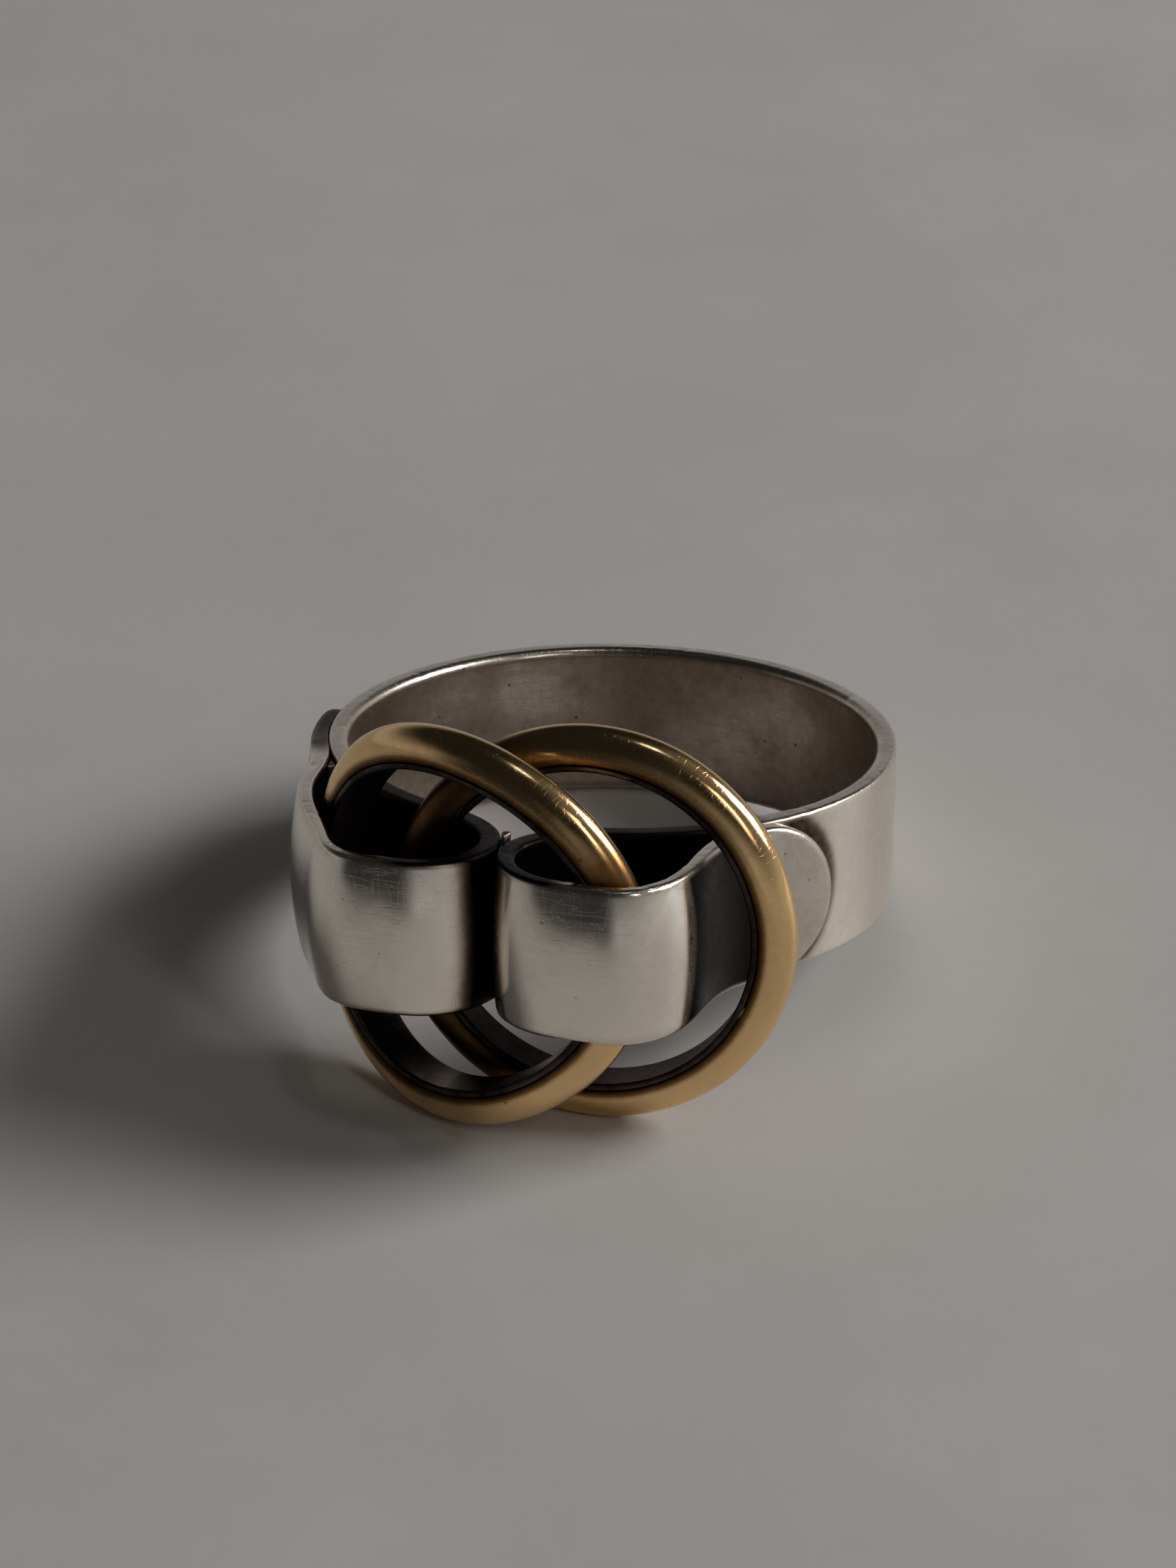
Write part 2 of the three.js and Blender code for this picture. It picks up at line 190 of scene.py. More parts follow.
class StripSettings(bpy.types.PropertyGroup):
    """The silver strip that makes the shank, the pillows and the tongues."""

    finger_radius: FloatProperty(
        name="Finger radius", description="Half the finger hole",
        default=9.1 * MM, unit="LENGTH", precision=5,
    )
    front_depth: FloatProperty(
        name="Front depth", description="From the finger axis to the flattened front",
        default=8.5 * MM, unit="LENGTH", precision=5,
    )
    thickness: FloatProperty(
        name="Thickness", description="Thickness of the strip",
        default=0.72 * MM, unit="LENGTH", precision=5,
    )
    width: FloatProperty(
        name="Width", description="Width of the strip along the finger",
        default=5.4 * MM, unit="LENGTH", precision=5,
    )
    pillow_depth: FloatProperty(
        name="Pillow depth", description="From the finger axis to the faces of the pillows",
        default=13.95 * MM, unit="LENGTH", precision=5,
    )
    nose_reach: FloatProperty(
        name="Nose reach", description="From the middle to where each pillow's face starts",
        default=2.9 * MM, unit="LENGTH", precision=5,
    )
    crown: FloatProperty(
        name="Crown", description="How far the pillows are domed across",
        default=0.34 * MM, unit="LENGTH", precision=5,
    )
    edge_round: FloatProperty(
        name="Edge round", description="Radius of the worn edges",
        default=0.13 * MM, unit="LENGTH", precision=5,
    )
    silver: FloatVectorProperty(
        name="Silver", description="Clean polished silver",
        subtype="COLOR", size=3, default=(0.94, 0.875, 0.78),
    )
    # The brown and the black are also the colours of the painted shade inside the folds, round the
    # noses and behind the right pillow.
    tarnish_and_shade: FloatVectorProperty(
        name="Tarnish", description="Brown tarnish on rubbed silver", subtype="COLOR", size=3,
        default=(0.3, 0.225, 0.175),
    )
    black: FloatVectorProperty(
        name="Black", description="Blackened silver in the recesses", subtype="COLOR", size=3,
        default=(0.014, 0.011, 0.01),
    )


class HoopSettings(bpy.types.PropertyGroup):
    """The two half-round hoops and their linings."""

    outer_radius: FloatProperty(
        name="Outer radius", description="Outside radius of a hoop",
        default=6.9 * MM, unit="LENGTH", precision=5,
    )
    inner_radius: FloatProperty(
        name="Inner radius", description="Inside radius of a lining",
        default=5.5 * MM, unit="LENGTH", precision=5,
    )
    width: FloatProperty(
        name="Width", description="Width of the wire along the hoop's axis",
        default=1.56 * MM, unit="LENGTH", precision=5,
    )
    lining: FloatProperty(
        name="Lining", description="Thickness of the silver lining",
        default=0.22 * MM, unit="LENGTH", precision=5,
    )
    gold: FloatVectorProperty(
        name="Gold", description="Polished yellow gold",
        subtype="COLOR", size=3, default=(0.9, 0.61, 0.3),
    )
    # The film and its darker copy are also the colours of the painted shade where the hoops run through
    # the folds.
    gold_tarnish_and_shade: FloatVectorProperty(
        name="Gold tarnish", description="Dull film on the gold",
        subtype="COLOR", size=3, default=(0.3, 0.16, 0.06),
    )
    lining_dark: FloatVectorProperty(
        name="Lining", description="Oxidised silver of the linings", subtype="COLOR", size=3,
        default=(0.085, 0.068, 0.058),
    )


class StageSettings(bpy.types.PropertyGroup):
    """The floor, the light and the camera."""

    floor: FloatVectorProperty(
        name="Floor", description="Colour of the floor",
        subtype="COLOR", size=3, default=(0.6, 0.585, 0.57),
    )
    window_power: FloatProperty(
        name="Window power", description="Strength of the main soft light",
        default=4.3, unit="POWER",
    )
    window_size: FloatProperty(
        name="Window size", description="Side of the main soft light", default=0.34, unit="LENGTH"
    )
    lens: FloatProperty(
        name="Lens", description="Focal length of the camera", default=134.48, unit="CAMERA",
    )


# ---------------------------------------------------------------- placing


def ring_frame():
    """Rotation and centre, in the frame's metres, of the ring's own axes: z is the finger axis."""
    record = frame["record"]
    joints = {joint["name"]: joint for joint in record["behaviour"]["joints"]}
    finger = Vector(joints["left_hoop_slide"]["axis"]).normalized()
    facing = Vector(joints["right_hoop_turn"]["axis"]).normalized()
    front = Matrix.Rotation(-math.radians(RIGHT_HOOP["turn"]), 3, finger) @ facing
    front = (front - finger * front.dot(finger)).normalized()
    across = (-front).cross(finger)
    rotation = np.array([across, -front, finger]).T
    rim = np.array(record["mounts"][0]["pos_m"])
    strip = bpy.context.scene.strip_settings
    rim_local = np.array([0, strip.finger_radius + strip.thickness / 2, -strip.width / 2])
    return rotation, rim - rotation @ rim_local


def placed(points):
    """Points in the ring's own millimetres, as points of the frame in metres."""
    rotation, centre = ring_frame()
    return np.asarray(points) @ rotation.T * MM + centre


def piece(name, points, faces, material, body, replaced, marks):
    """One smooth mesh on its body. marks are its per-point attributes: name to numbers."""
    mesh = bpy.data.meshes.new(name)
    mesh.from_pydata(placed(points).tolist(), [], [tuple(map(int, face)) for face in faces])
    for mark, values in marks.items():
        values = np.asarray(values, np.float32)
        kind, part = ("FLOAT", "value") if values.ndim == 1 else ("FLOAT_VECTOR", "vector")
        mesh.attributes.new(mark, kind, "POINT").data.foreach_set(part, values.ravel())
    shaped = bmesh.new()
    shaped.from_mesh(mesh)
    bmesh.ops.recalc_face_normals(shaped, faces=shaped.faces)
    shaped.to_mesh(mesh)
    shaped.free()
    mesh.shade_smooth()
    mesh.materials.append(material)
    made = bpy.data.objects.new(name, mesh)
    bpy.context.scene.collection.objects.link(made)
    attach(made, body)
    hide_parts(*replaced)
    return made


def tube_faces(count, around, closed):
    """Quads that join `count` rings of `around` points each, with end caps if it isn't closed."""
    here = np.arange(count if closed else count - 1)[:, None] * around
    after = (here + around) % (count * around)
    one = np.arange(around)[None, :]
    two = (one + 1) % around
    quads = np.stack([here + one, here + two, after + two, after + one], -1).reshape(-1, 4).tolist()
    if not closed:
        quads.append(list(range(around))[::-1])
        quads.append(list(range((count - 1) * around, count * around)))
    return quads


def ripple(points, pitch, seed):
    """Smooth hand-made unevenness between -1 and 1, with bumps about `pitch` millimetres apart."""
    shift = Vector((seed, 2.7 * seed, -1.3 * seed))
    return np.array([noise.noise(Vector(p) / pitch + shift) for p in points])


def unevenness(points, layers):
    """Height in millimetres of several ripples, each with its depth, pitch and seed."""
    return sum(depth * ripple(points, pitch, seed) for depth, pitch, seed in layers)


def smooth_step(value, start, end):
    """0 before start, 1 after end, and a soft change between."""
    t = np.clip((value - start) / (end - start), 0, 1)
    return t * t * (3 - 2 * t)


# ---------------------------------------------------------------- silver strip


def shank_points(angles, offset, side=1):
    """Plan of the shank `offset` outside its inner face, at angles in degrees from the front."""
    strip = bpy.context.scene.strip_settings
    turn = np.radians(np.atleast_1d(angles))
    radius = strip.finger_radius / MM
    depth = np.where(np.cos(turn) > 0, strip.front_depth / MM, radius)
    return np.stack([side * (radius + offset) * np.sin(turn), -(depth + offset) * np.cos(turn)], -1)


def bend(start, start_heading, end, end_heading):
    """A curve between two stops, without its first point."""
    start, end = np.array(start), np.array(end)
    reach = np.linalg.norm(end - start) * ROUND_PULL * math.sqrt(0.5)
    first = start + np.array(start_heading) / np.linalg.norm(start_heading) * reach
    second = end - np.array(end_heading) / np.linalg.norm(end_heading) * reach
    t = np.linspace(0, 1, BEND_STEPS + 1)[1:, None]
    s = 1 - t
    return start * s**3 + 3 * first * s * s * t + 3 * second * s * t * t + end * t**3


def folded_end(side, crest_end, slope, landing, tip, **_):
    """Middle line of one folded end from the shank to its tongue, and its marks as point numbers."""
    strip = bpy.context.scene.strip_settings
    half = strip.thickness / MM / 2
    radius = strip.finger_radius / MM
    reach = strip.nose_reach / MM
    over = strip.thickness / MM + TOUCH_GAP + half
    crest = -(strip.pillow_depth / MM - half)
    root_angle = math.degrees(math.asin(reach / radius))

    def heading(angle, offset):
        ends = shank_points([angle - 0.5, angle + 0.5], offset, side)
        return ends[1] - ends[0]

    touch_y = -(strip.front_depth + strip.pillow_depth) / MM / 2
    stops = [
        (shank_points(root_angle, half, side)[0], -heading(root_angle, half)),
        ((side * (TOUCH_GAP / 2 + half), touch_y), (0, -1)),
        ((side * reach, crest), (side, 0)),
        ((side * crest_end, crest), (side, 0)),
        *(((side * at[0], at[1]), (side * to[0], to[1])) for at, to in slope),
        (shank_points(landing, over, side)[0], heading(landing, over)),
    ]
    names = {1: "touch", 2: "face", 4: "fall", len(stops) - 1: "landing"}
    line = [shank_points(np.linspace(FOLD_START, root_angle, ARC_STEPS), half, side)]
    marks = {"root": ARC_STEPS - 1}
    count = ARC_STEPS
    for i in range(1, len(stops)):
        curve = bend(*stops[i - 1], *stops[i])
        line.append(curve)
        count += len(curve)
        if i in names:
            marks[names[i]] = count - 1
    line.append(shank_points(np.linspace(landing, tip, ARC_STEPS)[1:], over, side))
    return np.concatenate(line), marks


def strip_line():
    """The whole strip's middle line from the left tongue to the right one, evenly spaced.

    With it come its running length and the lengths at which its marks lie.
    """
    half = bpy.context.scene.strip_settings.thickness / MM / 2
    left, left_marks = folded_end(**LEFT_END)
    right, right_marks = folded_end(**RIGHT_END)
    back = shank_points(np.linspace(FOLD_START, 360 - FOLD_START, BACK_STEPS)[1:-1], half, -1)
    line = np.concatenate([left[::-1], back, right])
    run = np.concatenate([[0], np.cumsum(np.linalg.norm(np.diff(line, axis=0), axis=1))])
    marks = {"left_" + k: run[len(left) - 1 - i] for k, i in left_marks.items()}
    marks |= {"right_" + k: run[len(left) + len(back) + i] for k, i in right_marks.items()}
    marks["left_start"], marks["right_start"] = run[len(left) - 1], run[len(left) + len(back)]
    marks["end"] = run[-1]

    even = np.linspace(0, run[-1], int(run[-1] / STRIP_STEP) + 1)
    line = np.stack([np.interp(even, run, line[:, k]) for k in range(2)], -1)
    spread = int(4 * LINE_SMOOTHING / STRIP_STEP)
    weights = np.exp(-0.5 * (np.arange(-spread, spread + 1) * STRIP_STEP / LINE_SMOOTHING) ** 2)
    weights /= weights.sum()
    padded = np.concatenate([
        2 * line[0] - line[spread:0:-1], line, 2 * line[-1] - line[-2 : -spread - 2 : -1],
    ])
    line = np.stack([np.convolve(padded[:, k], weights, "valid") for k in range(2)], -1)
    return line, even, marks


def strip_tarnish_and_shade(run, marks):
    """Tarnish and painted shade along the strip from 0 to 1: (finger side and pillow faces, other face,
    rims).
    """
    face = np.full(run.shape, FINGER_SIDE_TARNISH)
    other = np.full(run.shape, OUTSIDE_TARNISH)
    rim = np.full(run.shape, RIM_TARNISH)
    for end, away, shape in (("left", -1, LEFT_END), ("right", 1, RIGHT_END)):
        past = {
            mark: (run - marks[f"{end}_{mark}"]) * away
            for mark in ("start", "root", "touch", "face", "fall", "landing")
        }
        # Painted shade round the noses: the face side is black from the root into the valley between
        # the pillows, and fades out across the pillow faces.
        notch_shade = smooth_step(past["root"], -1.2, 0.3)
        face = face + (1 - face) * notch_shade
        face = face * (1 - smooth_step(past["touch"], 0.75, 2.1))
        # Painted shade on the limb behind each pillow, as strong as the end's "shaded" value.
        behind = smooth_step(past["fall"], -0.45, 0.25)
        behind = behind * (1 - smooth_step(past["landing"], -0.6, 0.5))
        face = np.maximum(face, shape["shaded"] * behind)
        # Painted shade inside each fold: its inner face is black from the fold's start, and so are its
        # rims, except along the pillow faces and past the landing.
        other = np.maximum(other, FOLD_SHADE * smooth_step(past["start"], -1.5, 0.6))
        rim = np.maximum(rim, FOLD_RIM_SHADE * smooth_step(past["start"], -0.5, 1.5))
        rim = rim * (1 - 0.85 * smooth_step(past["face"], -0.6, 0.9))
        rim = rim * (1 - smooth_step(past["landing"], -0.6, 0.8))
        rim = np.maximum(rim, shape["tongue_rim"] * smooth_step(past["landing"], -1.5, 0.3))
        face = np.maximum(face, shape["tongue"] * smooth_step(past["landing"], -0.5, 0.8))
    return face, other, rim


def tongue_shadow(run, sideways, marks):
    """Painted shadow in the corner along the edge of each tongue, where it lies on the shank."""
    strip = bpy.context.scene.strip_settings
    round_end = strip.width / MM / 2
    radius = strip.finger_radius / MM + strip.thickness / MM
    shadow = np.zeros_like(sideways)
    for end, away, shape in (("left", -1, LEFT_END), ("right", 1, RIGHT_END)):
        reach = math.radians(shape["tip"] - FOLD_START) * radius
        short = reach + (run - marks[end + "_start"])[:, None] * away
        outline = np.hypot(np.clip(round_end - short, 0, None), sideways)
        from_edge = np.abs(outline - round_end)
        close = (1 - smooth_step(from_edge, 0.3, 0.85)) * (short > -1.5)
        shadow = np.maximum(shadow, CORNER_SHADOW * close)
    return shadow


def make_strip():
    """The silver strip: shank, noses, pillows and tongues in one length."""
    strip = bpy.context.scene.strip_settings
    line, run, marks = strip_line()
    half = strip.thickness / MM / 2
    round_end = strip.width / MM / 2
    corner = strip.edge_round / MM
    total = marks["end"]

    along = np.gradient(line, axis=0)
    along /= np.linalg.norm(along, axis=1)[:, None]
    face_side = np.stack([along[:, 1], -along[:, 0]], -1)

    left_over = np.minimum(run, total - run)
    inside = np.clip(round_end - left_over, 0, round_end)
    width = np.sqrt(np.maximum(round_end**2 - inside**2, TIP_HALF_WIDTH**2))

    crown = np.zeros_like(run)
    for end in ("left", "right"):
        span = (run - marks[end + "_touch"]) / (marks[end + "_landing"] - marks[end + "_touch"])
        crown += strip.crown / MM * np.sqrt(np.sin(np.pi * np.clip(span, 0, 1)))
        crown = np.maximum(crown, TONGUE_CROWN * smooth_step(span, 0.8, 1.05))
    filed = LEFT_END["filed"] * (1 - smooth_step(run, 0.0, marks["left_landing"]))
    filed += RIGHT_END["filed"] * smooth_step(run, marks["right_landing"], total)

    swing = np.radians(np.linspace(-90, 90, ACROSS + 1))
    v = width[:, None] * np.sin(swing)[None, :]
    to_edge = np.where(
        inside[:, None] > 0, round_end - np.hypot(inside[:, None], v), width[:, None] - np.abs(v)
    )
    on_tongue = 1 - smooth_step(run, marks["left_landing"] - EDGE_FADE, marks["left_landing"])
    on_tongue += smooth_step(run, marks["right_landing"], marks["right_landing"] + EDGE_FADE)
    on_shank = smooth_step(run, marks["left_start"], marks["left_start"] + EDGE_FADE)
    on_shank *= 1 - smooth_step(run, marks["right_start"] - EDGE_FADE, marks["right_start"])
    front_corner = (corner + TONGUE_EDGE_WEAR * on_tongue + SHANK_EDGE_WEAR * on_shank)[:, None]

    def worn(radius):
        near = np.clip(to_edge, 0, radius)
        return radius - np.sqrt(radius**2 - (radius - near) ** 2)

    bulge = crown[:, None] * (v / round_end) ** 2
    front = half - bulge - worn(front_corner) - filed[:, None]
    rear = worn(corner) - half - INNER_CROWN * bulge

    # Round the section: across the front face, down one rim, back across the rear, up the other.
    rim_share = np.linspace(0, 1, RIM_POINTS + 2)[1:-1]
    right_rim = front[:, -1:] + (rear[:, -1:] - front[:, -1:]) * rim_share
    left_rim = rear[:, :1] + (front[:, :1] - rear[:, :1]) * rim_share
    through = np.concatenate([front, right_rim, rear[:, ::-1], left_rim], 1)
    sideways = np.concatenate([
        v, np.repeat(v[:, -1:], RIM_POINTS, 1), v[:, ::-1], np.repeat(v[:, :1], RIM_POINTS, 1),
    ], 1)
    around = through.shape[1]

    plan = line[:, None, :] + face_side[:, None, :] * through[:, :, None]
    points = np.concatenate([plan, sideways[:, :, None]], -1).reshape(-1, 3)

    face, other, rim = strip_tarnish_and_shade(run, marks)
    share = np.clip((through / half + 1) / 2, 0, 1)
    on_wall = np.zeros((len(run), RIM_POINTS))
    from_edge = np.concatenate([to_edge, on_wall, to_edge[:, ::-1], on_wall], 1)
    near_rim = 1 - smooth_step(from_edge, 0.03, 0.2)
    tarnish_and_shade = other[:, None] + (face - other)[:, None] * smooth_step(share, 0.3, 0.7)
    # Painted shadow along each tongue's edge, on the outer face of the shank.
    tarnish_and_shade = np.maximum(tarnish_and_shade, tongue_shadow(run, sideways, marks) * (through < 0))
    tarnish_and_shade = tarnish_and_shade * (1 - near_rim) + rim[:, None] * near_rim

    # Hammer and wear marks: long soft waves everywhere, small nicks along the rims.
    outward = np.concatenate([face_side, np.zeros((len(run), 1))], 1)
    outward = np.repeat(outward[:, None, :], around, 1) * np.sign(through)[:, :, None]
    waves = unevenness(points, STRIP_WAVES)
    depth, pitch, seed = RIM_NICKS
    nicks = depth * np.clip(ripple(points, pitch, seed) - 0.25, 0, 1) * near_rim.ravel()
    points = points + outward.reshape(-1, 3) * (waves - nicks)[:, None]
    points[:, 2] -= np.sign(points[:, 2]) * nicks

    draw = np.stack([
        np.repeat(run[:, None], around, 1), sideways, np.sign(through) * 4.0,
    ], -1).reshape(-1, 3)
    piece(
        "silver_strip", points, tube_faces(len(run), around, False), silver_finish(), "silver_ring",
        ["shank_band", "left_folded_strap", "right_folded_strap"],
        {"tarnish_and_shade": tarnish_and_shade.ravel(), "draw": draw},
    )


# ---------------------------------------------------------------- hoops


def hoop_points(place, turn, bow, section):
    """A section swept round a hoop: [radius, distance along the axis] rows, in millimetres."""
    hoop = bpy.context.scene.hoop_settings
    swing = math.radians(turn)
    across = np.array([math.cos(swing), math.sin(swing), 0])
    facing = np.array([math.sin(swing), -math.cos(swing), 0])
    finger = np.array([0, 0, 1])
    middle = (hoop.outer_radius + hoop.inner_radius) / MM / 2
    t = np.linspace(0, 2 * np.pi, HOOP_ROUND_STEPS, endpoint=False)[:, None]
    radius, axial = section[:, 0][None, :], section[:, 1][None, :]
    sideways = radius * np.cos(t) / middle
    normal = facing + across * (2 * bow * sideways / middle)[..., None]
    normal /= np.linalg.norm(normal, axis=-1)[..., None]
    return (
        np.array(place)
        + across * (radius * np.cos(t))[..., None]
        + finger * (radius * np.sin(t))[..., None]
        - facing * (bow * sideways**2)[..., None]
        + normal * axial[..., None]
    ), t


def rounded(corners, radius):
    """A closed outline with each corner cut back and rounded; radius is one number per corner."""
    corners = np.array(corners, float)
    line = []
    for i, corner in enumerate(corners):
        before, after = corners[i - 1] - corner, corners[(i + 1) % len(corners)] - corner
        cut = radius[i]
        if cut == 0:
            line.append(corner)
            continue
        start = corner + before / np.linalg.norm(before) * cut
        end = corner + after / np.linalg.norm(after) * cut
        for t in np.linspace(0, 1, CORNER_STEPS):
            line.append(start * (1 - t) ** 2 + 2 * corner * t * (1 - t) + end * t * t)
    return np.array(line)


def filled(line, gap):
    """A closed outline with extra points, none more than `gap` apart."""
    made = []
    for here, after in zip(line, np.roll(line, -1, 0)):
        count = max(1, math.ceil(np.linalg.norm(after - here) / gap))
        made += [here + (after - here) * k / count for k in range(count)]
    return np.array(made)


def gold_section():
    """Half-round wire: flat at the lining, short straight sides, then a dome."""
    hoop = bpy.context.scene.hoop_settings
    base = (hoop.inner_radius + hoop.lining) / MM + TOUCH_GAP
    wall, half, top = base + 0.1, hoop.width / MM / 2, hoop.outer_radius / MM
    dome = [
        (wall + (top - wall) * math.sin(a), half * math.cos(a))
        for a in np.linspace(0, math.pi, DOME_STEPS)
    ]
    corners = [*dome, (base, -half), (base, half)]
    return filled(rounded(corners, [0] * len(dome) + [0.05, 0.05]), SECTION_STEP["gold"])


def lining_section():
    """Thin flat wire with a worn inner edge on each side."""
    hoop = bpy.context.scene.hoop_settings
    inner, outer = hoop.inner_radius / MM, (hoop.inner_radius + hoop.lining) / MM
    half = hoop.width / MM / 2
    corners = [(outer, half), (outer, -half), (inner, -half), (inner, half)]
    return filled(rounded(corners, [0.03, 0.03, 0.1, 0.1]), SECTION_STEP["lining"])


def hoop_piece(name, hoop, section, finish, body, tarnish_at, waves):
    """One swept ring of wire. tarnish_at gives the tarnish from a section point's radius."""
    points, t = hoop_points(hoop["place"], hoop["turn"], hoop["bow"], section)
    around = len(section)
    centre = points.mean(1, keepdims=True)
    outward = points - centre
    outward /= np.linalg.norm(outward, axis=-1, keepdims=True)
    flat = points.reshape(-1, 3)
    uneven = waves * unevenness(flat, HOOP_WAVES)
    flat = flat + outward.reshape(-1, 3) * uneven[:, None]
    tarnish_and_shade = np.repeat(tarnish_at(section[:, 0])[None, :], len(t), 0)
    # Painted shade on the stretch of wire that runs through the strip's fold.
    middle, spread = hoop["fold_shade"]
    aside = np.abs((np.degrees(t) - middle + 180) % 360 - 180)
    clear = smooth_step(aside, spread - FOLD_SHADE_FADE_IN, spread + FOLD_SHADE_FADE_OUT)
    tarnish_and_shade = np.maximum(tarnish_and_shade, HOOP_FOLD_SHADE * (1 - clear))
    run = np.concatenate([[0], np.cumsum(np.linalg.norm(np.diff(section, axis=0), axis=1))])
    draw = np.stack([
        GRAIN_RADIUS * np.cos(t) + 0 * run[None, :],
        GRAIN_RADIUS * np.sin(t) + 0 * run[None, :],
        0 * t + run[None, :],
    ], -1).reshape(-1, 3)
    piece(
        name + "_smooth", flat, tube_faces(len(t), around, True), finish, body, [name],
        {"tarnish_and_shade": tarnish_and_shade.ravel(), "draw": draw},
    )


def make_gold():
    """The two gold hoops: half-round wire, dull in the corner along the lining, with painted shade
    where they run through the folds.
    """
    finish = gold_finish()
    hoops = bpy.context.scene.hoop_settings
    base = (hoops.inner_radius + hoops.lining) / MM

    def tarnish_and_shade(radius):
        return GOLD_CORNER_TARNISH * (1 - smooth_step(radius, base + 0.08, base + 0.4))

    for side, hoop in (("left", LEFT_HOOP), ("right", RIGHT_HOOP)):
        hoop_piece(
            side + "_hoop_gold", hoop, gold_section(), finish, side + "_hoop",
            tarnish_and_shade, GOLD_WAVE_DEPTH,
        )


def make_linings():
    """The thin oxidised linings inside the hoops."""
    finish = lining_finish()

    def tarnish_and_shade(radius):
        return np.full(radius.shape, LINING_TARNISH)

    for side, hoop in (("left", LEFT_HOOP), ("right", RIGHT_HOOP)):
        hoop_piece(
            side + "_hoop_lining", hoop, lining_section(), finish, side + "_hoop",
            tarnish_and_shade, LINING_WAVE_DEPTH,
        )


# ---------------------------------------------------------------- solder


def make_solder():
    """Lumpy solder in the notch between the noses and under both landings."""
    finish = solder_finish()
    for node in ("centre_solder_seam", "left_tail_solder_seam", "right_tail_solder_seam"):
        source = frame["nodes"][node]
        bead = bpy.data.objects.new(node + "_bead", source.data.copy())
        bpy.context.scene.collection.objects.link(bead)
        voxels = bead.modifiers.new("Voxels", "REMESH")
        voxels.mode, voxels.voxel_size, voxels.use_smooth_shade = "VOXEL", VOXEL * MM, True
        melted = bead.modifiers.new("Melted", "SMOOTH")
        melted.factor, melted.iterations = 0.5, 3
        shown = bead.evaluated_get(bpy.context.evaluated_depsgraph_get())
        mesh = bpy.data.meshes.new_from_object(shown)
        bead.modifiers.clear()
        count = len(mesh.vertices)
        points, normals = np.zeros(count * 3), np.zeros(count * 3)
        mesh.vertices.foreach_get("co", points)
        mesh.vertices.foreach_get("normal", normals)
        points, normals = points.reshape(-1, 3), normals.reshape(-1, 3)
        lumps = unevenness(points / MM, SOLDER_LUMPS)
        points = points + normals * (lumps * MM)[:, None]
        if node == "centre_solder_seam":
            rotation, centre = ring_frame()
            height = (points - centre) @ rotation[:, 2] / MM
            top = smooth_step(height, SOLDER_LIFT_FROM, SOLDER_LIFT_TO)
            points = points + rotation[:, 2] * (SOLDER_LIFT * MM * top)[:, None]
        mesh.vertices.foreach_set("co", points.ravel())
        tarnish_and_shade = 0.5 + 0.5 * ripple(points / MM, 0.8, 1.7)
        mesh.attributes.new("tarnish_and_shade", "FLOAT", "POINT").data.foreach_set(
            "value", np.clip(tarnish_and_shade, 0, 1).astype(np.float32)
        )
        mesh.attributes.new("draw", "FLOAT_VECTOR", "POINT").data.foreach_set(
            "vector", (points / MM).astype(np.float32).ravel()
        )
        mesh.shade_smooth()
        mesh.materials.clear()
        mesh.materials.append(finish)
        bead.data = mesh
        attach(bead, "silver_ring")
        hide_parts(node)


# ---------------------------------------------------------------- finishes


class Finish:
    """A material under construction: its nodes are added and joined one at a time."""

    def __init__(self, name):
        self.material = bpy.data.materials.new(name)
        self.material.use_nodes = True
        self.tree = self.material.node_tree
        self.tree.nodes.clear()
        self.metal = self.add("ShaderNodeBsdfPrincipled")
        output = self.add("ShaderNodeOutputMaterial")
        self.join(self.metal.outputs["BSDF"], output.inputs["Surface"])

    def add(self, kind, **settings):
        node = self.tree.nodes.new(kind)
        for key, value in settings.items():
            setattr(node, key, value)
        return node

    def join(self, source, target):
        self.tree.links.new(source, target)

    def feed(self, target, source):
        """Links an output to an input, or sets the input to a constant."""
        if hasattr(source, "links"):
            self.join(source, target)
        else:
            target.default_value = source

    def calc(self, operation, first, second, clamp=False):
        node = self.add("ShaderNodeMath", operation=operation, use_clamp=clamp)
        self.feed(node.inputs[0], first)
        self.feed(node.inputs[1], second)
        return node.outputs[0]

    def mapped(self, value, low, high, to_low, to_high):
        node = self.add("ShaderNodeMapRange")
        self.feed(node.inputs["Value"], value)
        for key, number in zip(RANGE_SOCKETS, (low, high, to_low, to_high)):
            node.inputs[key].default_value = number
        return node.outputs["Result"]

    def scaled(self, vector, scale, turn=(0, 0, 0)):
        node = self.add("ShaderNodeMapping")
        self.join(vector, node.inputs["Vector"])
        node.inputs["Scale"].default_value = scale
        node.inputs["Rotation"].default_value = turn
        return node.outputs["Vector"]

    def cloud(self, vector, scale, detail=3.0, rough=0.55):
        node = self.add("ShaderNodeTexNoise")
        self.join(vector, node.inputs["Vector"])
        node.inputs["Scale"].default_value = scale
        node.inputs["Detail"].default_value = detail
        node.inputs["Roughness"].default_value = rough
        return node.outputs["Fac"]

    def hairlines(self, vector, scale, width):
        """1 on thin curved lines and 0 between them."""
        away = self.calc("ABSOLUTE", self.calc("SUBTRACT", self.cloud(vector, scale, 1.0), 0.5), 0.0)
        return self.mapped(away, 0.0, width, 1.0, 0.0)

    def shades(self, value, stops):
        node = self.add("ShaderNodeValToRGB")
        self.join(value, node.inputs["Fac"])
        ramp = node.color_ramp
        while len(ramp.elements) < len(stops):
            ramp.elements.new(0.5)
        for element, (place, colour) in zip(ramp.elements, stops):
            element.position = place
            element.color = (*colour, 1.0)
        return node.outputs["Color"]

    def bump(self, height, distance, strength, before=None):
        node = self.add("ShaderNodeBump")
        node.inputs["Strength"].default_value = strength
        node.inputs["Distance"].default_value = distance
        self.join(height, node.inputs["Height"])
        if before is not None:
            self.join(before, node.inputs["Normal"])
        return node.outputs["Normal"]


